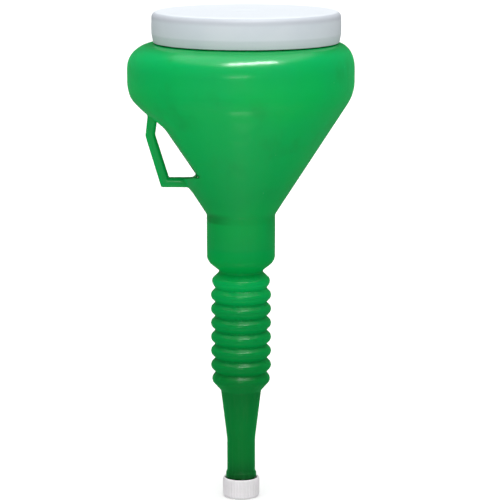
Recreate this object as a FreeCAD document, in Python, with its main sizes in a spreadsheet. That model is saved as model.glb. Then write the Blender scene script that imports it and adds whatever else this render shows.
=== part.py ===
import FreeCAD, Part
import math
import os
import re
import Sketcher

# Capped funnel: a bowl with a screw lid, a side handle and a strainer, and a bellows spout
# that bends in any direction and ends in a threaded tip with its own screw cap.
#
# Frame: +Z up along the spout's axis, origin at the middle of the spout cap's end face.
# The handle lies in the XZ plane on the -X side. The mouth stands a little off the axis, towards +X.

SIZES = [
    # the bowl, from its belly down to the cone's foot
    ("BellyRadius", 84.2, "outside radius of the bowl at its widest"),
    ("ConeFootRadius", 25.4, "outside radius where the cone meets the neck"),
    ("ConeFootHeight", 218.0, "height of the cone's foot"),
    ("ConeSlope", 0.645, "growth of the cone's radius per unit of height"),
    ("BellyRound", 48.0, "radius of the curve from the cone to the belly"),
    ("ShoulderStart", 327.3, "height where the shoulder starts to turn in"),
    ("ShoulderRise", 17.4, "height of the shoulder's curve"),
    ("ShoulderReach", 16.2, "how far the shoulder turns in"),
    ("ShoulderFullness", 0.86, "1 is an ellipse, and less is a fuller curve"),
    ("BowlWall", 2.0, "wall of the bowl"),
    ("ConeWallAcross", 2.38, "the same wall, measured level across the cone"),
    ("MouthOffset", 4.0, "how far the mouth's axis stands off the spout's"),
    ("MouthRadius", 65.6, "outside radius of the mouth's neck, at the thread's root"),
    ("MouthRim", 364.9, "height of the mouth's rim"),
    # the neck under the cone
    ("NeckRadius", 25.4, "outside radius of the neck"),
    ("NeckCorner", 181.5, "height of the corner where the neck turns in"),
    ("NeckRound", 8.0, "rounding of that corner"),
    ("NeckFootRadius", 17.8, "outside radius where the bellows start"),
    ("NeckFootWall", 1.8, "level wall at the neck's foot"),
    # the recess behind the handle, and the handle
    ("RecessTopOut", 57.7, "distance of the recess's upper inner corner from the axis"),
    ("RecessTopHeight", 282.3, "height of that corner"),
    ("RecessFootOut", 31.8, "distance of the recess's lower inner corner from the axis"),
    ("RecessFootHeight", 244.0, "height of the recess's floor"),
    ("RecessReach", 95.0, "how far out the recess is cut"),
    ("RecessLedgeRise", 0.706, "rise of the recess's upper ledge per unit outwards"),
    ("RecessRound", 3.5, "rounding of the recess's corners"),
    ("HandleThickness", 10.0, "handle from front to back"),
    ("HandleElbowOut", 71.0, "distance of the handle's elbow from the axis"),
    ("HandleElbowHeight", 275.6, "height of the elbow"),
    ("HandleTopOut", 69.4, "outer face where the handle enters the bowl"),
    ("HandleTopHeight", 297.0, "height up to which the handle is drawn, inside the bowl"),
    ("HandleFootOut", 59.5, "outer corner at the handle's foot"),
    ("HandleFootHeight", 237.2, "underside of the handle's foot"),
    ("HandleInnerFootOut", 53.5, "inner corner at the handle's foot"),
    ("HandleRootOut", 28.0, "how far in the handle's foot is drawn, inside the cone"),
    ("StrapWidth", 7.4, "handle's strap, measured level"),
    ("HandleRound", 2.2, "rounding of the handle's long edges"),
    # the lid and its seal
    ("LidRadius", 70.2, "outside radius of the lid"),
    ("LidTop", 368.6, "height of the lid's top"),
    ("LidFoot", 345.6, "height of the lid's lower edge"),
    ("LidWall", 2.2, "lid's skirt and top"),
    ("LidTopRound", 3.2, "rounding of the lid's top edge"),
    ("LidFootRound", 1.0, "rounding of the lid's lower edge"),
    ("GateRadius", 9.0, "radius of the shallow gate dimple in the lid's top"),
    ("GateDepth", 0.4, "depth of that dimple"),
    ("SealThickness", 1.4, "lid's foam seal"),
    ("SealInset", 0.6, "how far the lid's seal stays from the skirt"),
    ("SealGap", 0.1, "clearance between a seal and the rim under it"),
    # the lid's thread
    ("LidPitch", 6.0, "rise of the lid's thread in one turn"),
    ("LidTurns", 1.4, "turns of the lid's thread"),
    ("LidRidgeHeight", 1.8, "height of the lid's thread ridges"),
    ("LidRidgeRoot", 2.6, "width of a ridge at its root"),
    ("LidRidgeCrest", 1.2, "width of a ridge at its crest"),
    ("MouthThreadStart", 350.8, "height where the mouth's thread starts"),
    # the strainer that drops into the neck
    ("StrainerRadius", 23.0, "outside radius of the strainer's ring"),
    ("StrainerFoot", 204.8, "height of the strainer's lower edge"),
    ("StrainerWall", 1.2, "wall of the strainer's ring"),
    ("StrainerLipRadius", 26.1, "radius of the lip that rests on the cone"),
    ("StrainerLipHeight", 223.4, "height of the lip's edge"),
    ("StrainerBend", 0.4, "how far above the cone's foot the ring bends out into its lip"),
    ("StrainerLedge", 2.0, "width of the ledge under the gauze"),
    ("GauzeThickness", 0.6, "thickness of the wire gauze"),
    # the bellows
    ("CrestRadius", 22.5, "outside radius of a bellows ring"),
    ("EndCrestRadius", 21.5, "outside radius of the first and the last ring"),
    ("CrestRound", 2.2, "rounding of a ring's crest"),
    ("InnerCrestRound", 1.0, "the same, inside the wall"),
    ("FoldRound", 1.1, "rounding of a fold"),
    ("FlankSlope", 0.9, "fall of a ring's radius per unit of height"),
    ("RingPitch", 10.72, "distance from ring to ring"),
    ("RingHalf", 3.35, "half the height of a ring"),
    ("TopRingHeight", 166.1, "height of the first ring's crest"),
    ("TopFoldHeight", 173.4, "height of the fold under the neck"),
    ("FoldHalf", 2.01, "half the height of a fold"),
    ("SpoutWall", 1.6, "level wall of the bellows and the tip"),
    # the tip
    ("TipFlareRadius", 15.2, "outside radius at the top of the taper"),
    ("TipFlareHeight", 82.3, "height of that place"),
    ("TipRadius", 10.45, "outside radius of the straight tip"),
    ("TaperFoot", 44.2, "height where the taper ends"),
    ("FlareRound", 2.6, "rounding at the top of the taper"),
    ("TaperRound", 8.0, "rounding where the taper ends"),
    ("LipRound", 0.45, "rounding of the tip's end and of the cap's rim"),
    ("BeadRadius", 11.4, "radius of the bead above the cap"),
    ("BeadTop", 19.6, "height where the bead starts to swell"),
    ("BeadShoulder", 18.2, "height where the bead is full"),
    ("BeadFoot", 14.8, "height of the bead's underside"),
    ("TipThreadRadius", 10.3, "outside radius of the tip at its thread's root"),
    # the spout cap and its seal
    ("CapRadius", 13.5, "outside radius of the cap between its ribs"),
    ("CapHeight", 14.4, "height of the cap"),
    ("CapWall", 1.4, "wall of the cap's skirt"),
    ("CapEnd", 1.6, "thickness of the cap's end"),
    ("CapRound", 0.9, "rounding of the cap's end"),
    ("CapSeal", 1.0, "thickness of the cap's seal"),
    ("CapSealInset", 0.3, "how far the cap's seal stays from the skirt"),
    ("RibHeight", 0.45, "how far a grip rib stands out"),
    ("RibWidth", 1.1, "width of a grip rib"),
    ("RibFoot", 1.6, "height where the ribs start"),
    ("RibTop", 13.4, "height where the ribs end"),
    ("RibCount", 36, "number of grip ribs"),
    ("CapPitch", 3.0, "rise of the cap's thread in one turn"),
    ("CapTurns", 1.5, "turns of the cap's thread"),
    ("CapRidgeHeight", 1.2, "height of the cap's thread ridges"),
    ("CapRidgeRoot", 1.3, "width of a ridge at its root"),
    ("CapRidgeCrest", 0.6, "width of a ridge at its crest"),
    ("TipThreadStart", 6.3, "height where the tip's thread starts"),
]
RINGS = 8
SHOULDER_STEPS = 9
OVERLAP = 0.3  # how far a thread's ridge is sunk into its wall
NEAR = 1e-4  # two sizes closer than this are the same size
ROUGH_MIDDLE = 40.0  # where an outline is first drawn, before its constraints move it
ROUGH_RADIUS = 20.0

doc = FreeCAD.newDocument("CappedFunnel")
sheet = doc.addObject("Spreadsheet::Sheet", "Sizes")
for row, (alias, size, note) in enumerate(SIZES, start=1):
    sheet.set(f"A{row}", alias)
    sheet.set(f"B{row}", str(size))
    sheet.set(f"C{row}", note)
    sheet.setAlias(f"B{row}", alias)
doc.recompute()


def bound(formula):
    """A formula in the sheet's names as a FreeCAD expression."""
    return re.sub(r"\b([A-Z][A-Za-z]+)\b", r"Sizes.\1", str(formula))


def bind(thing, **formulas):
    """Ties properties to formulas; x, y and z stand for the placement's position."""
    for name, formula in formulas.items():
        path = f"Placement.Base.{name}" if name in ("x", "y", "z") else name
        thing.setExpression(path, bound(formula))


def new_body(name):
    made = doc.addObject("PartDesign::Body", name)
    made.Label = name
    return made


def new_sketch(body, name, plane="XZ_Plane"):
    sketch = body.newObject("Sketcher::SketchObject", name)
    origin_plane = [f for f in body.Origin.OriginFeatures if f.Role == plane][0]
    sketch.AttachmentSupport = [(origin_plane, "")]
    sketch.MapMode = "FlatFace"
    return sketch


def hold(sketch, kind, line, end, formula):
    """Ties one coordinate of a line's start to a formula; a formula of 0 puts it on the axis."""
    if formula == 0:
        axis = -2 if kind == "DistanceX" else -1
        sketch.addConstraint(Sketcher.Constraint("PointOnObject", line, end, axis))
        return
    index = sketch.addConstraint(Sketcher.Constraint(kind, line, end, ROUGH_RADIUS))
    sketch.setExpression(f"Constraints[{index}]", bound(formula))


def draw_outline(sketch, corners):
    """A closed outline through corners, each a pair of formulas."""
    count = len(corners)
    middle = FreeCAD.Vector(ROUGH_MIDDLE, ROUGH_MIDDLE, 0)
    turns = [2 * math.pi * i / count for i in range(count)]
    start = [middle + FreeCAD.Vector(math.cos(turn), math.sin(turn), 0) * ROUGH_RADIUS for turn in turns]
    for i in range(count):
        sketch.addGeometry(Part.LineSegment(start[i], start[(i + 1) % count]), False)
    for i in range(count):
        sketch.addConstraint(Sketcher.Constraint("Coincident", i, 2, (i + 1) % count, 1))
    for i, (across, up) in enumerate(corners):
        hold(sketch, "DistanceX", i, 1, across)
        hold(sketch, "DistanceY", i, 1, up)


def edges_round_axis(shape, radius, height):
    """Names of the circular edges of that radius round Z at that height."""
    return [
        f"Edge{i}"
        for i, edge in enumerate(shape.Edges, start=1)
        if isinstance(edge.Curve, Part.Circle)
        and abs(edge.Curve.Radius - radius) < NEAR
        and abs(edge.Curve.Center.z - height) < NEAR
    ]


def round_edges(body, names, formula):
    """Rounds edges of the body's last feature."""
    last = body.Tip
    feature = body.newObject("PartDesign::Fillet", f"{body.Name}_round")
    feature.Base = (last, names)
    bind(feature, Radius=formula)
    doc.recompute()
    return feature


def turned_body(name, corners, rounds=()):
    """A body turned about Z from a closed outline; rounds pairs a corner's number with a radius."""
    body = new_body(name)
    sketch = new_sketch(body, f"{name}_outline")
    draw_outline(sketch, corners)
    doc.recompute()
    turning = body.newObject("PartDesign::Revolution", f"{name}_turning")
    turning.Profile = sketch
    turning.ReferenceAxis = (sketch, ["V_Axis"])
    turning.Angle = 360
    doc.recompute()
    for corner, formula in rounds:
        place = sketch.Geometry[corner].StartPoint
        round_edges(body, edges_round_axis(body.Tip.Shape, place.x, place.y), formula)
    return body


def add_thread(body, root_radius, start, outwards, kind):
    """Winds a ridge of trapezoid section round Z. kind is the prefix of the thread's sizes."""
    sign = "+" if outwards else "-"
    inner = f"({root_radius}) {'-' if outwards else '+'} {OVERLAP}"
    crest = f"({root_radius}) {sign} {kind}RidgeHeight"
    sketch = new_sketch(body, f"{body.Name}_ridge")
    draw_outline(
        sketch,
        [
            (inner, f"({start}) - {kind}RidgeRoot / 2"),
            (crest, f"({start}) - {kind}RidgeCrest / 2"),
            (crest, f"({start}) + {kind}RidgeCrest / 2"),
            (inner, f"({start}) + {kind}RidgeRoot / 2"),
        ],
    )
    doc.recompute()
    ridge = body.newObject("PartDesign::AdditiveHelix", f"{body.Name}_thread")
    ridge.Profile = sketch
    ridge.ReferenceAxis = (sketch, ["V_Axis"])
    ridge.Mode = "pitch-turns-angle"
    ridge.LeftHanded = False
    bind(ridge, Pitch=f"{kind}Pitch", Turns=f"{kind}Turns")
    doc.recompute()
    return ridge


def part_object(kind, name, **formulas):
    made = doc.addObject(kind, name)
    made.Label = name
    bind(made, **formulas)
    return made


def fuse(name, shapes):
    made = doc.addObject("Part::MultiFuse", name)
    made.Label = name
    made.Shapes = shapes
    made.Refine = False
    return made


def cut(name, base, tool):
    made = doc.addObject("Part::Cut", name)
    made.Label = name
    made.Base = base
    made.Tool = tool
    return made


def half_turn(thing):
    """Turns a piece drawn on the +X side to the -X side."""
    thing.Placement = FreeCAD.Placement(FreeCAD.Vector(), FreeCAD.Rotation(FreeCAD.Vector(0, 0, 1), 180))


# ---- the bowl ----


def shoulder(name, inset):
    """The shoulder as a loft of circles whose middles drift from the spout's axis to the mouth's."""
    sections = []
    for step in range(SHOULDER_STEPS + 1):
        angle = 90.0 * step / SHOULDER_STEPS
        circle = part_object(
            "Part::Circle",
            f"{name}_section_{step}",
            Radius=f"BellyRadius - {inset} - ShoulderReach * (1 - cos({angle} deg))",
            x=f"MouthOffset * (1 - cos({angle} deg))",
            z=f"ShoulderStart + (ShoulderRise - {inset}) * sin({angle} deg) ^ ShoulderFullness",
        )
        sections.append(circle)
    loft = doc.addObject("Part::Loft", name)
    loft.Sections = sections
    loft.Solid = True
    return loft


def lower_bowl(name, neck_radius, foot_radius, cone_foot, belly, corner, rounds):
    """The bowl from the neck's foot to the belly, as a solid of revolution."""
    cone_top = "ConeFootHeight + (BellyRadius - ConeFootRadius) / ConeSlope"
    return turned_body(
        name,
        [
            (0, "TopFoldHeight + FoldHalf"),
            (foot_radius, "TopFoldHeight + FoldHalf"),
            (neck_radius, corner),
            (neck_radius, cone_foot),
            (belly, cone_top),
            (belly, "ShoulderStart"),
            (0, "ShoulderStart"),
        ],
        rounds,
    )


def recess(name, inset):
    """The cut behind the handle, as a prism along Y. inset moves its faces into the bowl by a wall."""
    body = new_body(name)
    sketch = new_sketch(body, f"{name}_outline")
    ledge = f"RecessTopHeight + {inset} + RecessLedgeRise * (RecessReach - RecessTopOut)"
    draw_outline(
        sketch,
        [
            (f"RecessTopOut - {inset}", f"RecessTopHeight + {inset}"),
            (f"RecessFootOut - {inset}", f"RecessFootHeight - {inset}"),
            ("RecessReach", f"RecessFootHeight - {inset}"),
            ("RecessReach", ledge),
        ],
    )
    doc.recompute()
    prism = body.newObject("PartDesign::Pad", f"{name}_prism")
    prism.Profile = sketch
    prism.Midplane = True
    bind(prism, Length="BellyRadius * 2")
    doc.recompute()
    inner_edges = [
        f"Edge{i}"
        for i, edge in enumerate(prism.Shape.Edges, start=1)
        if abs(edge.tangentAt(edge.FirstParameter).y) > 0.99 and edge.CenterOfMass.x < sheet.RecessTopOut + 1
    ]
    round_edges(body, inner_edges, "RecessRound")
    half_turn(body)
    return body


def build_bowl():
    outer = fuse(
        "bowl_outside",
        [
            lower_bowl(
                "bowl_lower_outside",
                "NeckRadius",
                "NeckFootRadius",
                "ConeFootHeight",
                "BellyRadius",
                "NeckCorner",
                [(2, "NeckRound"), (4, "BellyRound")],
            ),
            shoulder("shoulder_outside", "0"),
            part_object(
                "Part::Cylinder",
                "mouth_outside",
                Radius="MouthRadius",
                Height="MouthRim - ShoulderStart",
                x="MouthOffset",
                z="ShoulderStart",
            ),
        ],
    )
    inner = fuse(
        "bowl_inside",
        [
            lower_bowl(
                "bowl_lower_inside",
                "NeckRadius - BowlWall",
                "NeckFootRadius - NeckFootWall",
                "ConeFootHeight + (ConeWallAcross - BowlWall) / ConeSlope",
                "BellyRadius - BowlWall",
                "NeckCorner + NeckFootWall / 2",
                [(2, "NeckRound - BowlWall"), (4, "BellyRound - BowlWall")],
            ),
            shoulder("shoulder_inside", "BowlWall"),
            part_object(
                "Part::Cylinder",
                "mouth_inside",
                Radius="MouthRadius - BowlWall",
                Height="MouthRim - ShoulderStart + 1",
                x="MouthOffset",
                z="ShoulderStart",
            ),
        ],
    )
    doc.recompute()
    recessed = cut("bowl_recessed", outer, recess("handle_recess", "0"))
    hollow = cut("bowl_hollow", inner, recess("handle_recess_wall", "BowlWall"))
    shell = cut("bowl_shell", recessed, hollow)
    thread = new_body("mouth_thread")
    add_thread(thread, "MouthRadius", "MouthThreadStart", True, "Lid")
    bind(thread, x="MouthOffset")
    doc.recompute()
    return fuse("bowl", [shell, thread]), recessed


def build_handle(recessed_bowl):
    body = new_body("handle_blank")
    sketch = new_sketch(body, "handle_outline")
    draw_outline(
        sketch,
        [
            ("HandleTopOut", "HandleTopHeight"),
            ("HandleElbowOut", "HandleElbowHeight"),
            ("HandleFootOut", "HandleFootHeight"),
            ("HandleRootOut", "HandleFootHeight"),
            ("HandleRootOut", "RecessFootHeight"),
            ("HandleInnerFootOut", "RecessFootHeight"),
            ("HandleElbowOut - StrapWidth", "HandleElbowHeight"),
            ("HandleTopOut - StrapWidth", "HandleTopHeight"),
        ],
    )
    doc.recompute()
    blank = body.newObject("PartDesign::Pad", "handle_pad")
    blank.Profile = sketch
    blank.Midplane = True
    bind(blank, Length="HandleThickness")
    doc.recompute()
    long_edges = [
        f"Edge{i}"
        for i, edge in enumerate(blank.Shape.Edges, start=1)
        if abs(edge.tangentAt(edge.FirstParameter).y) < 0.01
        and sheet.HandleRootOut + 1 < edge.CenterOfMass.x
        and edge.CenterOfMass.z < sheet.HandleTopHeight - 1
    ]
    round_edges(body, long_edges, "HandleRound")
    half_turn(body)
    return cut("handle", body, recessed_bowl)


# ---- the lid and its seal ----


def build_lid():
    under = "LidTop - LidWall"
    lid = turned_body(
        "lid",
        [
            (0, "LidTop - GateDepth"),
            ("GateRadius", "LidTop - GateDepth"),
            ("GateRadius + GateDepth", "LidTop"),
            ("LidRadius", "LidTop"),
            ("LidRadius", "LidFoot"),
            ("LidRadius - LidWall", "LidFoot"),
            ("LidRadius - LidWall", under),
            (0, under),
        ],
        [(3, "LidTopRound"), (4, "LidFootRound")],
    )
    add_thread(lid, "LidRadius - LidWall", "MouthThreadStart - LidPitch / 2", False, "Lid")
    bind(lid, x="MouthOffset")
    return lid


def disc(name, radius, foot, thickness):
    return part_object("Part::Cylinder", name, Radius=radius, Height=thickness, z=foot)


def build_lid_seal():
    radius = "LidRadius - LidWall - SealInset"
    seal = disc("lid_seal", radius, "LidTop - LidWall - SealThickness", "SealThickness")
    bind(seal, x="MouthOffset")
    return seal


# ---- the strainer ----


def build_strainer():
    inside = "StrainerRadius - StrainerWall"
    bend = "ConeFootHeight + StrainerBend"
    ring = turned_body(
        "strainer_ring",
        [
            (f"{inside} - StrainerLedge", "StrainerFoot"),
            ("StrainerRadius", "StrainerFoot"),
            ("StrainerRadius", bend),
            ("StrainerLipRadius", "StrainerLipHeight"),
            ("StrainerLipRadius - StrainerWall", "StrainerLipHeight + StrainerWall / 2"),
            (inside, f"{bend} + StrainerWall / 2"),
            (inside, "StrainerFoot + StrainerWall"),
            (f"{inside} - StrainerLedge", "StrainerFoot + StrainerWall"),
        ],
    )
    gauze = disc("strainer_gauze", f"{inside} - SealGap", "StrainerFoot + StrainerWall", "GauzeThickness")
    return [ring, gauze]


# ---- the bellows spout ----

CREST_PEAK = "CrestRadius + CrestRound * (sqrt(1 + FlankSlope ^ 2) - 1)"
END_PEAK = "EndCrestRadius + CrestRound * (sqrt(1 + FlankSlope ^ 2) - 1)"


def ring_height(number):
    return f"TopRingHeight - RingPitch * {number - 1}"


def ring_peak(number):
    """The radius where a ring's two flanks would meet in a sharp crest."""
    return END_PEAK if number in (1, RINGS) else CREST_PEAK


def ring_end(number):
    """The outside radius at a ring's upper and lower edge."""
    return f"{ring_peak(number)} - FlankSlope * RingHalf"


def top_ring_end():
    """The first ring's upper flank is longer than the others."""
    return f"{ring_peak(1)} - FlankSlope * (TopFoldHeight - FoldHalf - TopRingHeight)"


def chevron(name, top, middle, foot, rounds):
    """A band of wall bent once, turned about Z. top, middle and foot are (radius, height)."""
    outside = [top, middle, foot]
    inside = [(f"{radius} - SpoutWall", height) for radius, height in reversed(outside)]
    return turned_body(name, outside + inside, rounds)


def build_ring(number):
    height = ring_height(number)
    top = (ring_end(number), f"{height} + RingHalf")
    if number == 1:
        top = (top_ring_end(), "TopFoldHeight - FoldHalf")
    return chevron(
        f"bellows_ring_{number}",
        top,
        (ring_peak(number), height),
        (ring_end(number), f"{height} - RingHalf"),
        [(1, "CrestRound"), (4, "InnerCrestRound")],
    )


def build_fold(number):
    """Fold 1 is under the neck; every other fold lies between two rings."""
    if number == 1:
        top = ("NeckFootRadius", "TopFoldHeight + FoldHalf")
        foot = (top_ring_end(), "TopFoldHeight - FoldHalf")
        height = "TopFoldHeight"
    else:
        top = (ring_end(number - 1), f"{ring_height(number - 1)} - RingHalf")
        foot = (ring_end(number), f"{ring_height(number)} + RingHalf")
        height = f"{ring_height(number)} + RingPitch / 2"
    valley = f"({top[0]} + {foot[0]}) / 2 - FlankSlope * FoldHalf"
    return chevron(f"bellows_fold_{number}", top, (valley, height), foot, [(1, "FoldRound")])


def build_tip():
    top = f"{ring_height(RINGS)} - RingHalf"
    end = "CapEnd + CapSeal + SealGap"
    bore = "TipRadius - SpoutWall"
    tip = turned_body(
        "spout_tip",
        [
            (ring_end(RINGS), top),
            ("TipFlareRadius", "TipFlareHeight"),
            ("TipRadius", "TaperFoot"),
            ("TipRadius", "BeadTop"),
            ("BeadRadius", "BeadShoulder"),
            ("BeadRadius", "BeadFoot"),
            ("TipThreadRadius", "BeadFoot"),
            ("TipThreadRadius", end),
            (bore, end),
            (bore, "TaperFoot"),
            ("TipFlareRadius - SpoutWall", "TipFlareHeight"),
            (f"{ring_end(RINGS)} - SpoutWall", top),
        ],
        [(1, "FlareRound"), (2, "TaperRound"), (5, "LipRound")],
    )
    add_thread(tip, "TipThreadRadius", "TipThreadStart", True, "Cap")
    return tip


# ---- the spout cap and its seal ----


def build_cap():
    inside = "CapRadius - CapWall"
    cap = turned_body(
        "spout_cap",
        [
            (0, 0),
            ("CapRadius", 0),
            ("CapRadius", "CapHeight"),
            (inside, "CapHeight"),
            (inside, "CapEnd"),
            (0, "CapEnd"),
        ],
        [(1, "CapRound"), (2, "LipRound")],
    )
    rib_sketch = new_sketch(cap, "rib_outline")
    draw_outline(
        rib_sketch,
        [
            (f"{inside} + CapWall / 2", "RibFoot"),
            ("CapRadius + RibHeight", "RibFoot + RibHeight"),
            ("CapRadius + RibHeight", "RibTop - RibHeight"),
            (f"{inside} + CapWall / 2", "RibTop"),
        ],
    )
    doc.recompute()
    rib = cap.newObject("PartDesign::Pad", "grip_rib")
    rib.Profile = rib_sketch
    rib.Midplane = True
    bind(rib, Length="RibWidth")
    doc.recompute()
    ribs = cap.newObject("PartDesign::PolarPattern", "grip_ribs")
    ribs.Originals = [rib]
    ribs.Axis = (rib_sketch, ["V_Axis"])
    ribs.Angle = 360
    bind(ribs, Occurrences="RibCount")
    cap.Tip = ribs
    doc.recompute()
    add_thread(cap, inside, "TipThreadStart - CapPitch / 2", False, "Cap")
    return cap


def build_cap_seal():
    return disc("cap_seal", "CapRadius - CapWall - CapSealInset", "CapEnd", "CapSeal")


# ---- the whole funnel ----


def build_all():
    bowl, recessed_bowl = build_bowl()
    pieces = [bowl, build_handle(recessed_bowl)]
    pieces += [build_lid(), build_lid_seal()]
    pieces += build_strainer()
    pieces += [build_fold(number) for number in range(1, RINGS + 1)]
    pieces += [build_ring(number) for number in range(1, RINGS + 1)]
    pieces += [build_tip(), build_cap(), build_cap_seal()]
    return pieces


def check(pieces):
    """Stops if any object failed or any piece isn't one valid closed shape."""
    failed = [thing.Name for thing in doc.Objects if {"Invalid", "Error"} & set(thing.State)]
    if failed:
        raise RuntimeError(f"these objects failed: {failed}")
    for piece in pieces:
        shape = piece.Shape
        if shape.isNull() or not shape.isValid() or len(shape.Solids) != 1:
            raise RuntimeError(f"{piece.Label} isn't one valid solid")
        print(f"{piece.Label:18s} volume {shape.Volume / 1000:8.3f} cm3")


def write(pieces):
    os.makedirs("parts", exist_ok=True)
    for old in os.listdir("parts"):
        if old.endswith(".step"):
            os.remove(os.path.join("parts", old))
    for piece in pieces:
        piece.Shape.exportStep(os.path.join("parts", f"{piece.Label}.step"))


PIECES = build_all()
doc.recompute()
check(PIECES)
write(PIECES)
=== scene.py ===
import math
import bpy
import numpy as np
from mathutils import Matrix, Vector


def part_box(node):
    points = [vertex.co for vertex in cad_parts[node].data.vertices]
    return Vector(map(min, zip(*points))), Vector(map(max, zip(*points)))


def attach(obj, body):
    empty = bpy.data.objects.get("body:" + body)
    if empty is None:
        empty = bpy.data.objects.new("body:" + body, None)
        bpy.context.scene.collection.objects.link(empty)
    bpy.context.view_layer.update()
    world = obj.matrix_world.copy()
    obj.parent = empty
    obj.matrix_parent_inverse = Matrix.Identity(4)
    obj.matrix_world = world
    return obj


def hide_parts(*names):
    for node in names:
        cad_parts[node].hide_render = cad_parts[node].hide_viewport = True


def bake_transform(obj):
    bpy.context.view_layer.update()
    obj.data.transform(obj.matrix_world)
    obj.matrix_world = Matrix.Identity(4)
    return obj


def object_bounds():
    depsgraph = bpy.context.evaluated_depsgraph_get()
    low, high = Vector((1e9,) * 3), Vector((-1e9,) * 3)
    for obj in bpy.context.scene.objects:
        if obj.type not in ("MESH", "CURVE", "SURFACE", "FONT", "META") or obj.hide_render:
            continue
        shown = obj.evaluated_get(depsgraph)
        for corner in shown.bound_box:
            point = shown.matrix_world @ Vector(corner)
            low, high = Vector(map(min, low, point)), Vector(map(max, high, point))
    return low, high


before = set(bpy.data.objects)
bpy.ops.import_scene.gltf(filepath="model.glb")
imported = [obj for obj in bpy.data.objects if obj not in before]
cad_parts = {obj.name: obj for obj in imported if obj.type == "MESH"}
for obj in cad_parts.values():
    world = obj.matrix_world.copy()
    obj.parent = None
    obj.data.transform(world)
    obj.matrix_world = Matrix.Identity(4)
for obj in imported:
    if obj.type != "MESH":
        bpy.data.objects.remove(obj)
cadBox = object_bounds()
mm = 0.001


def spanOf(node):
    low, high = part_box(node)
    return low / mm, high / mm


# places read from the frame, in mm
bowlHigh = spanOf("bowl")[1]
lidLow, lidHigh = spanOf("lid")
tipLow = spanOf("spout_tip")[0]
capHigh = spanOf("spout_cap")[1]
gauzeLow, gauzeHigh = spanOf("strainer_gauze")
handleLow, handleHigh = spanOf("handle")
ringCount = sum(1 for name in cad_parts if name.startswith("bellows_ring_"))
ringSpans = [spanOf(f"bellows_ring_{number}") for number in range(1, ringCount + 1)]
foldSpans = [spanOf(f"bellows_fold_{number}") for number in range(1, ringCount + 1)]
ringHalf = (ringSpans[1][1].z - ringSpans[1][0].z) / 2
crestHeights = [low.z + ringHalf for low, high in ringSpans]
foldHeights = [(low.z + high.z) / 2 for low, high in foldSpans]
mouthMiddle = (lidLow.x + lidHigh.x) / 2


# degrees each side of the parting line, where columns crowd
seamColumns = [0.0, 0.15, 0.3, 0.5, 0.75, 1.05]


def softLine(corners, step):
    # corners are (across, up, rounding); the line through them has arcs for corners
    # and points at most step apart
    knots = [np.array(corners[0][:2], float)]
    for before, corner, after in zip(corners, corners[1:], corners[2:]):
        middle = np.array(corner[:2], float)
        toBefore = np.array(before[:2], float) - middle
        toAfter = np.array(after[:2], float) - middle
        lengthBefore, lengthAfter = np.linalg.norm(toBefore), np.linalg.norm(toAfter)
        toBefore, toAfter = toBefore / lengthBefore, toAfter / lengthAfter
        opening = math.acos(max(-1.0, min(1.0, float(toBefore @ toAfter))))
        rounding = corner[2] if len(corner) > 2 else 0
        if rounding <= 0 or opening > math.pi - 1e-3:
            knots.append(middle)
            continue
        reach = min(rounding / math.tan(opening / 2), 0.49 * lengthBefore, 0.49 * lengthAfter)
        rounding = reach * math.tan(opening / 2)
        bisector = (toBefore + toAfter) / np.linalg.norm(toBefore + toAfter)
        centre = middle + bisector * rounding / math.sin(opening / 2)
        first, last = middle + toBefore * reach - centre, middle + toAfter * reach - centre
        sweep = math.pi - opening
        pieces = max(4, math.ceil(math.degrees(sweep) / 7))
        for i in range(pieces + 1):
            part = i / pieces
            arc = math.sin((1 - part) * sweep) * first + math.sin(part * sweep) * last
            knots.append(centre + arc / math.sin(sweep))
    knots.append(np.array(corners[-1][:2], float))
    line = [knots[0]]
    for knot in knots[1:]:
        gap = np.linalg.norm(knot - line[-1])
        if gap < 1e-6:
            continue
        start = line[-1]
        pieces = max(1, math.ceil(gap / step))
        line += [start + (knot - start) * (i + 1) / pieces for i in range(pieces)]
    return np.array(line)


def softMin(a, b, blend):
    share = np.clip(0.5 + 0.5 * (b - a) / blend, 0, 1)
    return b * (1 - share) + a * share - blend * share * (1 - share)


def softMax(a, b, blend):
    return -softMin(-a, -b, blend)


def easeStep(low, high, value):
    share = np.clip((value - low) / (high - low), 0, 1)
    return share * share * (3 - 2 * share)


def evenColumns(count):
    return np.arange(count) * 2 * math.pi / count


def mouldColumns(count):
    # even columns, with more beside the two parting lines at 0 and 180 degrees
    even = np.degrees(evenColumns(count))
    near = [side + sign * offset for side in (0, 180) for sign in (1, -1) for offset in seamColumns]
    clear = [a for a in even if all(abs((a - side + 180) % 360 - 180) > 1.2 for side in (0, 180))]
    return np.radians(sorted({round(a % 360, 4) for a in clear + near}))


def meshFromFaces(name, points, faces, sharpAngle=35):
    mesh = bpy.data.meshes.new(name)
    mesh.from_pydata((np.asarray(points) * mm).tolist(), [], faces)
    mesh.update()
    corners = np.array([mesh.vertices[i].co for t in faces for i in t[:3]]).reshape(-1, 3, 3)
    volume = np.einsum("ij,ij->i", corners[:, 0], np.cross(corners[:, 1], corners[:, 2])).sum()
    if volume < 0:
        mesh.flip_normals()
    mesh.shade_smooth()
    mesh.set_sharp_from_angle(angle=math.radians(sharpAngle))
    piece = bpy.data.objects.new(name, mesh)
    bpy.context.scene.collection.objects.link(piece)
    return piece


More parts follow.
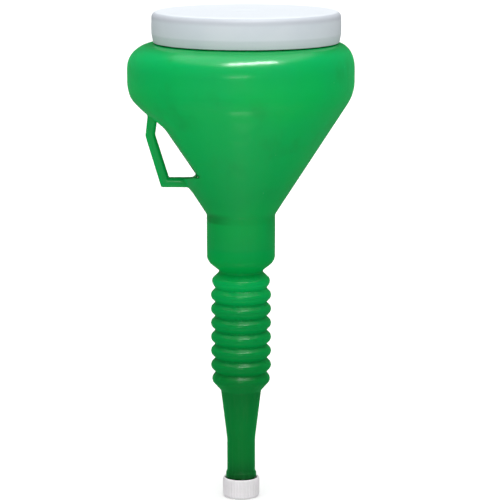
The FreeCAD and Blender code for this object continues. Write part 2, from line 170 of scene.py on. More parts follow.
def turnedPiece(name, line, columns, surface=None, closed=True, sharpAngle=35):
    # turns a line of (radius, height) about the spout's axis
    # surface(radius, height, angles, row) gives x, y, z
    points, rows, faces = [], [], []
    count = len(columns)
    for row, (radius, height) in enumerate(line):
        if radius < 1e-6:
            middle = surface(np.zeros(1), height, np.zeros(1), row) if surface else (0, 0, height)
            rows.append([len(points)])
            points.append([float(np.ravel(c)[0]) for c in middle])
            continue
        if surface:
            x, y, z = surface(np.full(count, float(radius)), height, columns, row)
        else:
            x, y, z = radius * np.cos(columns), radius * np.sin(columns), np.full(count, height)
        rows.append(list(range(len(points), len(points) + count)))
        points += np.column_stack([x, y, np.broadcast_to(z, count)]).tolist()
    pairs = list(zip(rows, rows[1:]))
    if closed:
        pairs.append((rows[-1], rows[0]))
    for upper, lower in pairs:
        for i in range(count):
            j = (i + 1) % count
            if len(upper) == 1 and len(lower) == 1:
                break
            if len(upper) == 1:
                faces.append((upper[0], lower[i], lower[j]))
            elif len(lower) == 1:
                faces.append((upper[i], lower[0], upper[j]))
            else:
                faces.append((upper[i], lower[i], lower[j], upper[j]))
    return meshFromFaces(name, points, faces, sharpAngle)


def threadRise(angles, height, thread):
    # how far a screw ridge stands out at these angles and this height
    lead = (angles % (2 * math.pi)) / (2 * math.pi)
    along = (height - thread["start"]) / thread["pitch"] - lead
    turn = np.clip(np.round(along), 0, math.floor(thread["turns"]))
    offset = np.abs(along - turn) * thread["pitch"]
    place = turn + lead
    slope = np.clip((thread["root"] / 2 - offset) / (thread["root"] / 2 - thread["crest"] / 2), 0, 1)
    ends = easeStep(0, 0.05, place) * (1 - easeStep(thread["turns"] - 0.05, thread["turns"], place))
    return thread["rise"] * slope * slope * (3 - 2 * slope) * ends


def partingRidge(radius, angles, height=0.2, width=0.45):
    # the raised line where the two halves of the mould met, in the handle's plane
    return height * np.exp(-((radius * np.sin(angles) / width) ** 2))


bowl = {
    "wall": 1.9,
    "mouthRadius": 65.6,
    "shoulderTop": 20.2,        # below the rim
    "shoulderRise": 19.2,
    "shoulderReach": 16.2,
    "shoulderFullness": 0.93,
    "bellyRound": 55.0,
    "coneSlope": 0.645,
    "coneFoot": 148.3,          # below the rim
    "coneFootRound": 4.0,
    "neckRadius": 25.4,
    "skinFoot": 172.9,          # below the rim, where the bellows' skin takes over
    "columns": 240,
    "thread": {"start": 350.8, "pitch": 6.0, "turns": 1.4, "rise": 1.8, "root": 2.6, "crest": 1.2},
}
recess = {
    "topOut": 57.7,
    "topHeight": 282.3,
    "footOut": 31.8,
    "footHeight": 244.0,
    "ledgeSlope": 1.416,
    "edgeRound": 2.6,
    "ledgeRound": 6.0,          # more, where the ledge runs out into the belly
    "draft": 0.16,              # the mould's halves draw apart along Y, so the cut widens that way
    "shelfTilt": 0.14,          # the floor of the cut falls towards the back
    "shelfSteepness": 14,
    "shelfBlend": 4.5,
    "faceBlend": 3.0,
    "ledgeFrom": 276,           # height where the rounding starts to grow
    "ledgeFull": 286,
}
rim = bowlHigh.z
belly = bowlHigh.y
shoulderFoot = rim - bowl["shoulderTop"] - bowl["shoulderRise"]
coneFoot = rim - bowl["coneFoot"]
skinFoot = rim - bowl["skinFoot"]


def shoulderAngle(height):
    share = np.clip((height - shoulderFoot) / bowl["shoulderRise"], 0, 1)
    return np.arcsin(share ** (1 / bowl["shoulderFullness"]))


def mouthDrift(height):
    # the mouth stands off the spout's axis, and the shoulder leads over to it
    return mouthMiddle * (1 - np.cos(shoulderAngle(height)))


def recessLimit(height, inset, y):
    # how far out the bowl may reach behind the handle
    drawn = np.abs(y) * recess["draft"]
    slope = (recess["topOut"] - recess["footOut"]) / (recess["topHeight"] - recess["footHeight"])
    face = recess["footOut"] + (height - recess["footHeight"]) * slope - inset - drawn
    rise = height - inset * 0.6 - drawn - recess["topHeight"]
    ledge = recess["topOut"] + rise * recess["ledgeSlope"] - inset
    under = recess["footHeight"] - inset - y * recess["shelfTilt"] - height
    shelf = recess["footOut"] + under * recess["shelfSteepness"] - inset
    return softMax(softMax(face, ledge, recess["faceBlend"]), shelf, recess["shelfBlend"])


def shoulderLine(steps):
    angles = np.radians(np.linspace(90, 0, steps))
    radius = belly - bowl["shoulderReach"] * (1 - np.cos(angles))
    height = shoulderFoot + bowl["shoulderRise"] * np.sin(angles) ** bowl["shoulderFullness"]
    return [(r, h, 0) for r, h in zip(radius, height)]


def bowlOutline():
    coneTop = coneFoot + (belly - bowl["neckRadius"]) / bowl["coneSlope"]
    shoulderTop = rim - bowl["shoulderTop"]
    mouth = [(bowl["mouthRadius"] - 1, rim, 0), (bowl["mouthRadius"], rim, 0.5)]
    threaded = [(bowl["mouthRadius"], shoulderTop + 0.2, 0.8)]
    upper = softLine(mouth + threaded + shoulderLine(26)[:1], 0.45)
    ledge = softLine(shoulderLine(40), 1.2)
    lower = softLine([
        (belly, shoulderFoot), (belly, coneTop, bowl["bellyRound"]),
        (bowl["neckRadius"], coneFoot, bowl["coneFootRound"]), (bowl["neckRadius"], skinFoot),
    ], 1.5)
    line = np.vstack([upper, ledge[1:], lower[1:]])
    # rows stand closer where the cut's floor meets its face
    extra = [(bowl["neckRadius"] + (h - coneFoot) * bowl["coneSlope"], h)
             for h in np.linspace(recess["footHeight"] - 5.5, recess["footHeight"] + 4.0, 34)]
    keep = [p for p in line if not (extra[0][1] - 0.5 < p[1] < extra[-1][1] + 0.5)]
    return np.array(sorted(keep + extra, key=lambda p: (-p[1], -p[0] if p[1] < shoulderFoot else p[0])))


def insetLine(line, wall):
    # the line moved inwards by the wall, square to itself
    along = np.gradient(line, axis=0)
    along /= np.linalg.norm(along, axis=1)[:, None]
    return line + np.column_stack([along[:, 1], -along[:, 0]]) * wall


def bowlSurface(rowsOutside):
    def surface(radius, height, angles, row):
        outside = row < rowsOutside
        inset = 0 if outside else bowl["wall"]
        if outside:
            radius = radius + threadRise(angles, height, bowl["thread"]) + partingRidge(radius, angles)
        x = mouthDrift(height) + radius * np.cos(angles)
        y = radius * np.sin(angles)
        if height < shoulderFoot:
            growth = easeStep(recess["ledgeFrom"], recess["ledgeFull"], height)
            blend = recess["edgeRound"] + recess["ledgeRound"] * growth
            x = -softMin(-x, recessLimit(height, inset, y), blend)
        return x, y, height
    return surface


def makeBowl():
    outside = bowlOutline()
    inside = insetLine(outside, bowl["wall"])
    inside[0] = (bowl["mouthRadius"] - bowl["wall"], rim)
    inside[-1] = (bowl["neckRadius"] - bowl["wall"], skinFoot)
    # the plain inside needs only every second row
    inside = inside[np.r_[0, 4:len(inside) - 1:2, len(inside) - 1]][::-1]
    line = np.vstack([outside, inside])
    return turnedPiece("bowlSkin", line, mouldColumns(bowl["columns"]), bowlSurface(len(outside)))


handle = {
    # the strap's two edges from the belly down: across, up, rounding
    "outer": [(-72.4, 297.0), (-69.4, 290.6, 2.0), (-71.1, 275.8, 6.0),
              (-59.5, 237.2, 1.8), (-39.4, 237.2, 2.5), (-34.5, 231.0)],
    "inner": [(-59.6, 292.0), (-62.4, 286.0, 2.0), (-63.8, 276.6, 6.0),
              (-53.7, 244.5, 1.0), (-35.4, 244.5, 3.5), (-31.6, 249.5)],
    "rootGrowth": 1.3,          # how much thicker the strap is where it leaves the bowl
    "roundness": 3.4,
    "around": 28,
    "pointsPerRun": 8,
    "pointsPerBend": 9,
}


def chainLine(corners, perRun, perBend):
    # like softLine, but with the same number of points in every run and bend, so that two chains match
    fine = []
    for i, corner in enumerate(corners):
        here = np.array(corner[:2], float)
        if i in (0, len(corners) - 1):
            fine.append([here] * 2)
            continue
        bend = softLine([corners[i - 1], corner, corners[i + 1]], 1e9)[1:-1]
        fine.append([bend[int(round(k))] for k in np.linspace(0, len(bend) - 1, perBend)])
    points = []
    for bend, following in zip(fine, fine[1:]):
        points += bend
        points += [bend[-1] + (following[0] - bend[-1]) * (k + 1) / (perRun + 1) for k in range(perRun)]
    return np.array(points + [fine[-1][0]])


def makeHandle():
    outer = chainLine(handle["outer"], handle["pointsPerRun"], handle["pointsPerBend"])
    inner = chainLine(handle["inner"], handle["pointsPerRun"], handle["pointsPerBend"])
    half = (handleHigh.y - handleLow.y) / 2
    count = len(outer)
    travelled = np.r_[0, np.cumsum(np.linalg.norm(np.diff((outer + inner) / 2, axis=0), axis=1))]
    fromEnd = np.minimum(travelled, travelled[-1] - travelled)
    angles = evenColumns(handle["around"])
    across = np.sign(np.cos(angles)) * np.abs(np.cos(angles)) ** (2 / handle["roundness"])
    deep = np.sign(np.sin(angles)) * np.abs(np.sin(angles)) ** (2 / handle["roundness"])
    points = []
    for i in range(count):
        middle, reach = (outer[i] + inner[i]) / 2, (outer[i] - inner[i]) / 2
        thick = half * (1 + (handle["rootGrowth"] - 1) * (1 - easeStep(5, 13, fromEnd[i])))
        for a, d in zip(across, deep):
            points.append((middle[0] + reach[0] * a, thick * d, middle[1] + reach[1] * a))
    faces = []
    around = handle["around"]
    for i in range(count - 1):
        for j in range(around):
            k = (j + 1) % around
            faces.append((i * around + j, i * around + k, (i + 1) * around + k, (i + 1) * around + j))
    faces.append(tuple(range(around)))
    faces.append(tuple((count - 1) * around + j for j in reversed(range(around))))
    return meshFromFaces("handleStrap", points, faces, 50)


bellows = {
    "wall": 1.5,
    "crestRadius": 22.55,
    "endCrestRadius": 21.7,
    "lobeHalf": 2.1,            # a ring's face is nearly straight this far above and below its crest
    "lobeDrop": 0.4,
    "lobeRound": 1.7,
    "valley": 19.1,             # radius where two flanks would meet in a fold
    "foldRound": 0.6,
    "neckCorner": 181.5,
    "neckRound": 8.5,
    "neckFoot": 15.6,
    "flat": 0.12,               # short straight at each seam, so that the shading runs on
    "columns": 144,
    "spread": 3.9,              # half the height over which a fold bends
}


def crestRadius(number):
    return bellows["endCrestRadius"] if number in (1, ringCount) else bellows["crestRadius"]


def halfRing(number, side):
    # from a ring's crest out to its shoulder, upwards for side 1 and downwards for side -1
    radius, crest = crestRadius(number), crestHeights[number - 1]
    shoulder = (radius - bellows["lobeDrop"], crest + side * bellows["lobeHalf"], bellows["lobeRound"])
    return [(radius, crest), (radius, crest + side * bellows["flat"]), shoulder]


def bellowsOutline(number):
    # from the crest above (or the neck) down to this ring's crest
    fold = foldHeights[number - 1]
    ringBelow = halfRing(number, 1)[::-1]
    if number > 1:
        ringAbove = halfRing(number - 1, -1)
        return softLine(ringAbove + [(bellows["valley"], fold, bellows["foldRound"])] + ringBelow, 0.8)
    neck = [
        (bowl["neckRadius"], skinFoot),
        (bowl["neckRadius"], bellows["neckCorner"], bellows["neckRound"]),
        (bellows["neckFoot"], fold + 0.3, 1.6),
    ]
    return softLine(neck + ringBelow, 0.8)


def mouldedSurface(radius, height, angles, row):
    ridge = partingRidge(radius, angles, 0.14, 0.4)
    return (radius + ridge) * np.cos(angles), (radius + ridge) * np.sin(angles), height


def mouldedShell(name, outside, wall, columns):
    inside = insetLine(outside, wall)
    inside[0] = (outside[0][0] - wall, outside[0][1])
    inside[-1] = (outside[-1][0] - wall, outside[-1][1])
    order = np.argsort(-inside[:, 1], kind="stable")
    inside = inside[order][np.r_[0, 1:len(inside) - 1:2, len(inside) - 1]][::-1]
    return turnedPiece(name, np.vstack([outside, inside]), columns, mouldedSurface)


def makeBellows():
    columns = mouldColumns(bellows["columns"])
    return [
        mouldedShell(f"bellowsSkin{number}", bellowsOutline(number), bellows["wall"], columns)
        for number in range(1, ringCount + 1)
    ]


tip = {
    "wall": 1.6,
    "flareRadius": 15.1,
    "flareHeight": 82.0,
    "flareRound": 3.0,
    "radius": 10.45,
    "taperFoot": 44.2,
    "taperRound": 30.0,
    "beadTop": 19.8,
    "beadRadius": 11.35,
    "beadShoulder": 18.3,
    "beadFoot": 14.8,
    "threadRadius": 10.3,
    "thread": {"start": 6.3, "pitch": 3.0, "turns": 1.5, "rise": 1.2, "root": 1.3, "crest": 0.6},
}


def makeTip():
    crest = crestHeights[-1]
    outside = softLine(halfRing(ringCount, -1) + [
        (tip["flareRadius"], tip["flareHeight"], tip["flareRound"]),
        (tip["radius"], tip["taperFoot"], tip["taperRound"]),
        (tip["radius"], tip["beadTop"], 3.0),
        (tip["beadRadius"], tip["beadShoulder"], 1.2),
        (tip["beadRadius"], tip["beadFoot"], 0.5),
        (tip["threadRadius"], tip["beadFoot"], 0.3),
        (tip["threadRadius"], tipLow.z, 0.4),
        (tip["radius"] - tip["wall"] + 0.3, tipLow.z),
    ], 0.35)
    bore = tip["radius"] - tip["wall"]
    mouth = crestRadius(ringCount) - tip["wall"]
    inside = softLine([
        (bore, tipLow.z), (bore, tip["taperFoot"], tip["taperRound"]),
        (tip["flareRadius"] - tip["wall"], tip["flareHeight"] + 0.6, tip["flareRound"]),
        (mouth - 0.1, crest - 0.6), (mouth, crest),
    ], 2.5)

    def surface(radius, height, angles, row):
        if row < len(outside):
            radius = radius + partingRidge(radius, angles, 0.12, 0.35)
            if height < tip["beadFoot"]:
                radius = radius + threadRise(angles, height, tip["thread"])
        return radius * np.cos(angles), radius * np.sin(angles), height

    return turnedPiece("spoutTip", np.vstack([outside, inside]), mouldColumns(bellows["columns"]), surface)


lid = {
    "wall": 2.2,
    "topRound": 4.6,
    "footRound": 6.0,
    "gateRadius": 9.0,
    "gateDepth": 0.4,
    "columns": 240,
    "thread": {"start": 347.8, "pitch": 6.0, "turns": 1.4, "rise": 1.8, "root": 2.6, "crest": 1.2},
}


def makeLid():
    radius = lidHigh.y
    top, foot, wall = lidHigh.z, lidLow.z, lid["wall"]
    inner = radius - wall
    outside = softLine([
        (0, top - lid["gateDepth"]), (lid["gateRadius"], top - lid["gateDepth"], 0.8),
        (lid["gateRadius"] + 1.2, top, 0.8), (radius - 0.3, top, lid["topRound"]), (radius, top - 11, 60),
        (radius - 0.1, foot + 6.5, lid["footRound"]), (radius - 1.3, foot + 0.2, 0.5),
        (radius - 1.7, foot, 0.3), (inner, foot, 0.3),
    ], 0.9)
    inside = softLine([(inner, foot, 0.3), (inner, top - wall, 1.0), (0, top - wall)], 0.5)
    line = np.vstack([outside, inside[1:]])

    def surface(radiusHere, height, angles, row):
        if row >= len(outside) and height < top - wall - 1:
            radiusHere = radiusHere - threadRise(angles, height, lid["thread"])
        return mouthMiddle + radiusHere * np.cos(angles), radiusHere * np.sin(angles), height

    return turnedPiece("screwLid", line, evenColumns(lid["columns"]), surface, closed=False)


cap = {
    "wall": 1.4,
    "end": 1.5,                 # a hair clear of the seal
    "rounding": 1.1,
    "ribs": 36,
    "ribRise": 0.36,
    "ribFoot": 1.3,
    "ribTop": 13.5,
    "columnsPerRib": 8,
    "thread": {"start": 4.8, "pitch": 3.0, "turns": 1.5, "rise": 1.2, "root": 1.3, "crest": 0.6},
}


def makeCap():
    top = capHigh.z
    radius = capHigh.y - 0.45
    inner = radius - cap["wall"]
    outside = softLine([
        (0, 0.3), (radius - 3.2, 0.3, 1.0), (radius - 2.6, 0, 0.6), (radius, 0, cap["rounding"]),
        (radius, top, 0.7), (inner + 0.2, top, 0.3), (inner, top - 0.4),
    ], 0.5)
    inside = softLine([(inner, top - 0.4), (inner, cap["end"], 0.5), (0, cap["end"])], 0.4)
    line = np.vstack([outside, inside[1:]])

    def surface(radiusHere, height, angles, row):
        if row < len(outside):
            rising = easeStep(cap["ribFoot"] - 0.6, cap["ribFoot"] + 0.5, height)
            fade = rising * (1 - easeStep(cap["ribTop"] - 0.5, cap["ribTop"] + 0.3, height))
            grip = np.clip(np.cos(cap["ribs"] * angles) * 1.6, -1, 1) * 0.5 + 0.5
            outer = easeStep(radius - 0.5, radius - 0.05, radiusHere)
            radiusHere = radiusHere + cap["ribRise"] * grip * fade * outer
        else:
            onWall = radiusHere > inner - 0.01
            radiusHere = radiusHere - threadRise(angles, height, cap["thread"]) * onWall
        return radiusHere * np.cos(angles), radiusHere * np.sin(angles), height

    columns = evenColumns(cap["ribs"] * cap["columnsPerRib"])
    return turnedPiece("ribbedCap", line, columns, surface, closed=False)


gauze = {"spacing": 1.7, "wire": 0.17, "sides": 5, "stepsPerCell": 4}


def makeGauze():
    # wires one way and then the other, each waving over and under those it crosses
    radius = gauzeHigh.x - 0.2
    middle = (gauzeLow.z + gauzeHigh.z) / 2
    points, faces = [], []
    lanes = int(radius / gauze["spacing"])
    sides = gauze["sides"]
    for direction in (0, 1):
        for lane in range(-lanes, lanes + 1):
            offset = lane * gauze["spacing"]
            half = math.sqrt(max(radius ** 2 - offset ** 2, 1.0))
            steps = max(8, int(2 * half / gauze["spacing"] * gauze["stepsPerCell"]))
            first = len(points)
            for i in range(steps + 1):
                along = -half + 2 * half * i / steps
                sign = 1 if (lane + direction) % 2 else -1
                lift = sign * gauze["wire"] * 1.05 * math.cos(math.pi * along / gauze["spacing"])
                for side in range(sides):
                    turn = 2 * math.pi * side / sides
                    aside, up = gauze["wire"] * math.cos(turn), gauze["wire"] * math.sin(turn)
                    place = (along, offset + aside) if direction == 0 else (offset + aside, along)
                    points.append((place[0], place[1], middle + lift + up))
            for i in range(steps):
                for side in range(sides):
                    a, b = first + i * sides + side, first + i * sides + (side + 1) % sides
                    wound = (a, b, b + sides, a + sides)
                    faces.append(wound if direction == 0 else (b, a, a + sides, b + sides))
            start = [first + s for s in range(sides)]
            end = [first + steps * sides + s for s in range(sides)]
            faces.append(tuple(reversed(start)) if direction == 0 else tuple(start))
            faces.append(tuple(end) if direction == 0 else tuple(reversed(end)))
    return meshFromFaces("wireGauze", points, faces, 50)


class Wire:  # a shader value that takes part in plain arithmetic; each step adds a Math node
    def __init__(self, board, socket):
        self.board = board
        self.socket = socket

    def maths(self, operation, *values):
        return self.board.add("ShaderNodeMath", {"operation": operation}, dict(enumerate(values)))

    def __add__(self, other):
        return self.maths("ADD", self, other)

    def __radd__(self, other):
        return self.maths("ADD", other, self)

    def __sub__(self, other):
        return self.maths("SUBTRACT", self, other)

    def __rsub__(self, other):
        return self.maths("SUBTRACT", other, self)

    def __mul__(self, other):
        return self.maths("MULTIPLY", self, other)

    def __rmul__(self, other):
        return self.maths("MULTIPLY", other, self)

    def __truediv__(self, other):
        return self.maths("DIVIDE", self, other)

    def __rtruediv__(self, other):
        return self.maths("DIVIDE", other, self)

    def ease(self, low, high):  # 0 below low, 1 above high, smooth between
        return self.board.add("ShaderNodeMapRange", {"interpolation_type": "SMOOTHSTEP"},
                               {"Value": self, "From Min": low, "From Max": high})


class Board:  # a node tree, and the one method that adds to it
    def __init__(self, owner, place):
        owner.use_nodes = True
        self.tree = owner.node_tree
        self.tree.nodes.clear()
        self.place = self.add("ShaderNodeTexCoord", take=place)
        self.across, self.deep, self.height = [
            self.add("ShaderNodeSeparateXYZ", {}, {0: self.place}, take=axis) for axis in ("X", "Y", "Z")
        ]

    def add(self, kind, settings=None, sockets=None, take=0):
        made = self.tree.nodes.new(kind)
        for name, value in (settings or {}).items():
            if name == "stops":
                self.setStops(made.color_ramp, value)
            else:
                setattr(made, name, value)
        for name, value in (sockets or {}).items():
            if isinstance(value, Wire):
                self.tree.links.new(value.socket, made.inputs[name])
            else:
                made.inputs[name].default_value = value
        return Wire(self, made.outputs[take])

    def setStops(self, ramp, stops):
        while len(ramp.elements) < len(stops):
            ramp.elements.new(0.5)
        for element, (place, colour) in zip(ramp.elements, stops):
            element.position = place
            element.color = colour

    def cloud(self, scale, detail=2.0, roughness=0.5, stretch=(1, 1, 1)):
        moved = self.add("ShaderNodeVectorMath", {"operation": "MULTIPLY"}, {0: self.place, 1: stretch})
        sockets = {"Vector": moved, "Scale": scale, "Detail": detail, "Roughness": roughness}
        return self.add("ShaderNodeTexNoise", {}, sockets)

    def mix(self, share, first, second):
        return self.add("ShaderNodeMix", {"data_type": "RGBA"}, {0: share, 6: first, 7: second}, take=2)

    def bump(self, height, strength, distance, before=None):
        sockets = {"Height": height, "Strength": strength, "Distance": distance}
        if before:
            sockets["Normal"] = before
        return self.add("ShaderNodeBump", {}, sockets)


class Finish(Board):
    def __init__(self, name, **constants):
        self.material = bpy.data.materials.new(name)
        super().__init__(self.material, "Object")
        self.shader = self.tree.nodes.new("ShaderNodeBsdfPrincipled")
        output = self.tree.nodes.new("ShaderNodeOutputMaterial")
        self.tree.links.new(self.shader.outputs[0], output.inputs[0])
        for name, value in constants.items():
            self.shader.inputs[name].default_value = value

    def feed(self, **wires):
        for name, wire in wires.items():
            self.tree.links.new(wire.socket, self.shader.inputs[name.replace("_", " ")])
        return self.material


def tint(red, green, blue):  # display colour 0 to 255 as shader colour
    parts = [c / 255 for c in (red, green, blue)]
    return [c / 12.92 if c <= 0.04045 else ((c + 0.055) / 1.055) ** 2.4 for c in parts] + [1.0]


greenByHeightWithLidShadow = {
    # height in mm and colour: darker towards the tip, brighter towards the shoulder;
    # the rows from 346 up are painted shadow under the lid's edge
    0: (13, 78, 28), 15: (13, 82, 32), 24: (10, 108, 44), 32: (9, 120, 48),
    55: (7, 126, 52), 77: (7, 120, 50), 95: (5, 130, 54), 118: (3, 150, 68),
    144: (3, 152, 70), 166: (2, 180, 88), 176: (2, 156, 66), 190: (2, 164, 76),
    225: (2, 164, 76), 262: (2, 178, 84), 300: (1, 190, 90), 325: (1, 188, 94),
    340: (3, 184, 98), 346: (2, 146, 62), 368: (2, 140, 60),
}
greenWall = {
    "patchDark": (14, 158, 74),
    "patchBright": (0, 200, 82),
    "paintedStrainerShade": (14, 124, 52),
    "strainerFoot": 212.0,      # mm
    "strainerTop": 218.4,
    "drawnStreak": (34, 122, 56),
    "streaksFull": 75.0,        # mm, and none above streaksEnd
    "streaksEnd": 100.0,
    "glossEnds": 341.0,         # mm; dull under the lid, above noGloss
    "noGloss": 346.0,
    "scuff": (60, 170, 100),
}


def makeGreenPlastic(name, gloss, coat):
    finish = Finish(name, **{
        "Specular IOR Level": gloss, "Sheen Weight": 0.6, "Sheen Roughness": 0.4,
        "Sheen Tint": (0.0, 0.7, 0.15, 1.0), "Subsurface Weight": 0.35,
        "Subsurface Radius": (0.25, 1.0, 0.45), "Subsurface Scale": 0.0025, "Coat Roughness": 0.12,
    })
    top = max(greenByHeightWithLidShadow)
    stops = [(height / top, tint(*colour)) for height, colour in greenByHeightWithLidShadow.items()]
    shade = finish.add("ShaderNodeValToRGB", {"stops": stops}, {0: finish.height / (top * mm)})
    patches = finish.cloud(34, 3.0, 0.55, (1, 1, 0.7))
    drift = finish.cloud(11, 2.0, 0.5)
    colour = finish.mix(patches.ease(0.5, 0.75) * 0.42, shade, tint(*greenWall["patchDark"]))
    colour = finish.mix(drift.ease(0.5, 0.72) * 0.4, colour, tint(*greenWall["patchBright"]))
    # painted shade: the strainer's ring seen through the neck as a darker band, stronger towards -x
    low, high = greenWall["strainerFoot"] * mm, greenWall["strainerTop"] * mm
    above = finish.height.ease(low - 0.0012, low + 0.0008)
    band = above * (1 - finish.height.ease(high - 0.001, high + 0.0025))
    side = 0.12 + (0 - finish.across).ease(0.004, 0.022) * 0.7
    nearNeck = finish.cloud(70, 2.0) * 0.5 + 0.6
    colour = finish.mix(band * side * nearNeck, colour, tint(*greenWall["paintedStrainerShade"]))
    # faint draw streaks on the spout, fine scuffs all over
    streaks = finish.cloud(420, 2.0, 0.6, (1, 1, 0.03))
    spout = 1 - finish.height.ease(greenWall["streaksFull"] * mm, greenWall["streaksEnd"] * mm)
    colour = finish.mix(streaks.ease(0.45, 0.7) * spout * 0.25, colour, tint(*greenWall["drawnStreak"]))
    scuffs = finish.cloud(260, 5.0, 0.75, (1, 0.25, 1)).ease(0.66, 0.78)
    colour = finish.mix(scuffs * 0.12, colour, tint(*greenWall["scuff"]))
    underLid = finish.height.ease(greenWall["glossEnds"] * mm, greenWall["noGloss"] * mm)
    rough = 0.2 + patches * 0.08 + scuffs * 0.15
    waves = finish.bump(finish.cloud(60, 2.0, 0.5), 0.35, 0.0012)
    grain = finish.bump(finish.cloud(900, 3.0, 0.6), 0.12, 0.0002, waves)
    return finish.feed(Base_Color=colour, Roughness=rough, Normal=grain,
                       Coat_Weight=(patches * 1.3 + 1) * (1 - underLid) * coat)


lidColoursAndPaintedLight = {
    # the rounding row is painted shade on the rounded edge, the face row painted light on the top
    "side": (222, 230, 236),
    "sideWorn": (217, 226, 233),
    "rounding": (204, 210, 218),
    "face": (229, 235, 241),
    "dust": (190, 196, 200),
}


def makeLidPlastic():
    finish = Finish("whiteLidPolypropylene", **{
        "Specular IOR Level": 0.3, "Subsurface Weight": 0.15, "Subsurface Radius": (1.0, 1.0, 1.0),
        "Subsurface Scale": 0.0012, "Coat Roughness": 0.2,
    })
    tone = finish.cloud(26, 3.0, 0.5)
    colour = finish.mix(tone.ease(0.4, 0.7), tint(*lidColoursAndPaintedLight["side"]), tint(*lidColoursAndPaintedLight["sideWorn"]))
    top = lidHigh.z * mm
    # painted shade: the rounded edge between top and side darker than the side
    rounding = finish.height.ease(top - 0.007, top - 0.003)
    colour = finish.mix(rounding, colour, tint(*lidColoursAndPaintedLight["rounding"]))
    # painted light: the top face lighter than the side
    face = finish.height.ease(top - 0.0012, top - 0.0002)
    colour = finish.mix(face, colour, tint(*lidColoursAndPaintedLight["face"]))
    dust = finish.cloud(500, 4.0, 0.7).ease(0.68, 0.8)
    colour = finish.mix(dust * 0.25, colour, tint(*lidColoursAndPaintedLight["dust"]))
    rough = 0.55 + tone * 0.1 + dust * 0.2
    waves = finish.bump(finish.cloud(45, 2.0), 0.2, 0.0008)
    grain = finish.bump(finish.cloud(1500, 2.0, 0.5), 0.1, 0.0001, waves)
    return finish.feed(Base_Color=colour, Roughness=rough, Normal=grain, Coat_Weight=0.05 + tone * 0.05)


def makeCapPlastic():
    finish = Finish("whiteCapPolypropylene", **{
        "Specular IOR Level": 0.4, "Subsurface Weight": 0.2, "Subsurface Radius": (1.0, 0.95, 0.95),
        "Subsurface Scale": 0.001,
    })
    tone = finish.cloud(90, 3.0, 0.5)
    colour = finish.mix(tone.ease(0.35, 0.7), tint(244, 241, 244), tint(237, 235, 237))
    grime = finish.cloud(380, 4.0, 0.7).ease(0.6, 0.8)
    colour = finish.mix(grime * 0.25, colour, tint(178, 176, 172))
    rough = 0.38 + tone * 0.12
    grain = finish.bump(finish.cloud(2200, 2.0), 0.12, 0.0001)
    return finish.feed(Base_Color=colour, Roughness=rough, Normal=grain)


def makeSealFoam():
    finish = Finish("closedCellSealFoam", **{"Specular IOR Level": 0.25})
    sockets = {"Vector": finish.place, "Scale": 1400.0}
    cells = finish.add("ShaderNodeTexVoronoi", {}, sockets, take="Distance")
    tone = finish.cloud(120, 3.0)
    colour = finish.mix(tone.ease(0.35, 0.7), tint(226, 226, 220), tint(210, 211, 204))
    pores = finish.bump(cells, 0.5, 0.0002)
    return finish.feed(Base_Color=colour, Roughness=0.7 + cells * 0.2, Normal=pores)


def makeStrainerPlastic():
    finish = Finish("darkGreenStrainerPlastic", **{"Specular IOR Level": 0.4})
    tone = finish.cloud(80, 3.0)
    colour = finish.mix(tone.ease(0.35, 0.7), tint(16, 84, 40), tint(22, 98, 48))
    grain = finish.bump(finish.cloud(1500, 3.0), 0.2, 0.0001)
    return finish.feed(Base_Color=colour, Roughness=0.4 + tone * 0.15, Normal=grain)


def makeWireSteel():
    finish = Finish("drawnGauzeSteel", **{"Metallic": 1.0})
    tone = finish.cloud(300, 3.0)
    colour = finish.mix(tone.ease(0.3, 0.7), tint(176, 178, 180), tint(140, 142, 146))
    return finish.feed(Base_Color=colour, Roughness=0.28 + tone * 0.2)


def dress(piece, finish):
    piece.data.materials.clear()
    piece.data.materials.append(finish)


green = makeGreenPlastic("blownGreenPolyethylene", 0.25, 0.06)
spoutGreen = makeGreenPlastic("spoutGreenPolyethylene", 0.1, 0.02)   # thicker wall, duller
lidWhite = makeLidPlastic()
capWhite = makeCapPlastic()
foam = makeSealFoam()
strainerGreen = makeStrainerPlastic()
steel = makeWireSteel()
print("finishes made")

bowlSkin = makeBowl()
dress(bowlSkin, green)
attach(bowlSkin, "bowl")
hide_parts("bowl")
print("bowl made", len(bowlSkin.data.polygons))

handleStrap = makeHandle()
dress(handleStrap, green)
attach(handleStrap, "bowl")
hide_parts("handle")
print("handle made", len(handleStrap.data.polygons))

spoutTip = makeTip()
dress(spoutTip, spoutGreen)
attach(spoutTip, "tip")
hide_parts("spout_tip")
print("tip made", len(spoutTip.data.polygons))

for number, skin in enumerate(makeBellows(), start=1):
    dress(skin, spoutGreen)
    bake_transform(skin)
    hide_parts(f"bellows_fold_{number}", f"bellows_ring_{number}")
print("bellows made")

screwLid = makeLid()
dress(screwLid, lidWhite)
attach(screwLid, "lid")
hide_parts("lid")
ribbedCap = makeCap()
dress(ribbedCap, capWhite)
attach(ribbedCap, "cap")
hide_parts("spout_cap")
print("closures made", len(screwLid.data.polygons), len(ribbedCap.data.polygons))

wireGauze = makeGauze()
dress(wireGauze, steel)
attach(wireGauze, "strainer")
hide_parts("strainer_gauze")
for node, finish in {"lid_seal": foam, "cap_seal": foam, "strainer_ring": strainerGreen}.items():
    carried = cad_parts[node]
    carried.data.materials.clear()
    carried.data.materials.append(finish)
print("strainer and seals made", len(wireGauze.data.polygons))


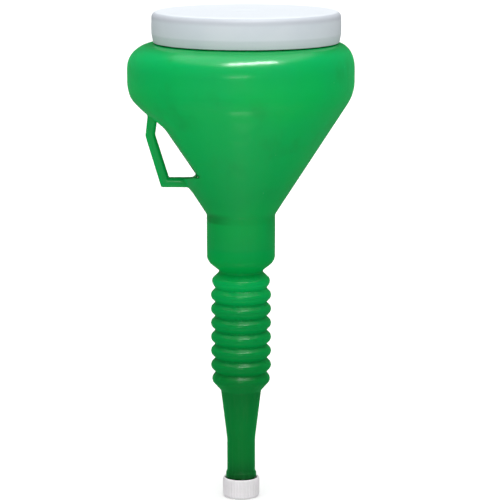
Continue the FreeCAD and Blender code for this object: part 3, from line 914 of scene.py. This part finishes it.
studio = {
    "floorSize": 30.0,
    "floorColour": (0.99, 0.99, 0.99, 1.0),
    "roomGlow": 0.46,           # light from every side
    "ceilingGlow": 2.45,        # broad panels overhead
    "frontGlow": 0.6,           # pale wall behind the camera
    "lowGlow": 0.75,            # sheet in front of and below the object
    "skyWhite": 1.3,            # seen past the floor's far edge
    "glossShare": 0.25,         # how much of the room, the wall and the sheet shows in gloss
    "lights": [
        # name, azimuth from the front, elevation, distance, width, height, power
        ("topSoftbox", 15, 60, 1.1, 0.72, 0.17, 19.0),
        ("frontWindow", -2, 9, 1.5, 0.5, 0.045, 1.5),
        ("lowStrip", 0, -60, 1.1, 0.3, 0.05, 0.34),
    ],
}
view = {
    "lens": 180.0,
    "sensor": 36.0,
    "distance": 1.875,
    "tilt": 9.9,                # degrees down
    "aimShare": 0.5138,
    "aimAcross": 6.75,
}


def makeFloor():
    half = studio["floorSize"] / 2
    mesh = bpy.data.meshes.new("studioFloor")
    corners = [(-half, -half, 0), (half, -half, 0), (half, half, 0), (-half, half, 0)]
    mesh.from_pydata(corners, [], [(0, 1, 2, 3)])
    floor = bpy.data.objects.new("studioFloor", mesh)
    bpy.context.scene.collection.objects.link(floor)
    floor.location.z = cadBox[0].z - 0.0005
    floor.visible_diffuse = False   # the floor is there to stand on, and throws no light back
    floor.visible_glossy = False
    floor.visible_shadow = False
    finish = Finish("paleFloorPaint", **{"Specular IOR Level": 0.0, "Roughness": 0.9})
    colour = finish.mix(finish.cloud(0.8, 2.0) * 0.02, list(studio["floorColour"]), tint(240, 240, 240))
    mesh.materials.append(finish.feed(Base_Color=colour))


def makeLights():
    middle = Vector(((cadBox[0].x + cadBox[1].x) / 2, (cadBox[0].y + cadBox[1].y) / 2, cadBox[1].z * 0.6))
    for name, azimuth, elevation, distance, width, height, power in studio["lights"]:
        lamp = bpy.data.lights.new(name, "AREA")
        lamp.shape = "RECTANGLE"
        lamp.size, lamp.size_y, lamp.energy = width, height, power
        lampObject = bpy.data.objects.new(name, lamp)
        bpy.context.scene.collection.objects.link(lampObject)
        a, e = math.radians(azimuth), math.radians(elevation)
        away = Vector((math.sin(a) * math.cos(e), -math.cos(a) * math.cos(e), math.sin(e)))
        lampObject.location = middle + away * distance
        lampObject.rotation_euler = away.to_track_quat("Z", "Y").to_euler()
        lampObject.visible_diffuse = False  # the lamps make the highlights, and the room lights the object


def makeWorld():
    world = bpy.data.worlds.new("studioRoom")
    room = Board(world, "Generated")
    towardsFront = 0 - room.deep
    ceiling = room.height.ease(0.68, 0.84) * studio["ceilingGlow"]
    front = towardsFront.ease(0.1, 1.0) * studio["frontGlow"]
    low = (0 - room.height).ease(0.45, 0.8) * towardsFront.ease(-0.1, 0.3) * studio["lowGlow"]
    inGloss = room.add("ShaderNodeLightPath", take="Is Glossy Ray") * (1 - studio["glossShare"])
    around = (front + low + studio["roomGlow"]) * (1 - inGloss)
    seen = room.add("ShaderNodeLightPath", take="Is Camera Ray")
    strength = (ceiling + around) * (1 - seen) + seen * studio["skyWhite"]
    glow = room.add("ShaderNodeBackground", {}, {"Strength": strength})
    output = room.tree.nodes.new("ShaderNodeOutputWorld")
    room.tree.links.new(glow.socket, output.inputs[0])
    bpy.context.scene.world = world


def makeCamera():
    camera = bpy.data.cameras.new("frontCamera")
    camera.lens, camera.sensor_width = view["lens"], view["sensor"]
    tilt = math.radians(view["tilt"])
    aim = Vector((view["aimAcross"] * mm, 0, cadBox[1].z * view["aimShare"]))
    cameraObject = bpy.data.objects.new("frontCamera", camera)
    cameraObject.location = aim + Vector((0, -math.cos(tilt), math.sin(tilt))) * view["distance"]
    cameraObject.rotation_euler = (math.pi / 2 - tilt, 0, 0)
    bpy.context.scene.collection.objects.link(cameraObject)
    bpy.context.scene.camera = cameraObject


makeFloor()
makeLights()
makeWorld()
makeCamera()
bpy.context.scene.view_settings.view_transform = "Standard"
print("studio made")
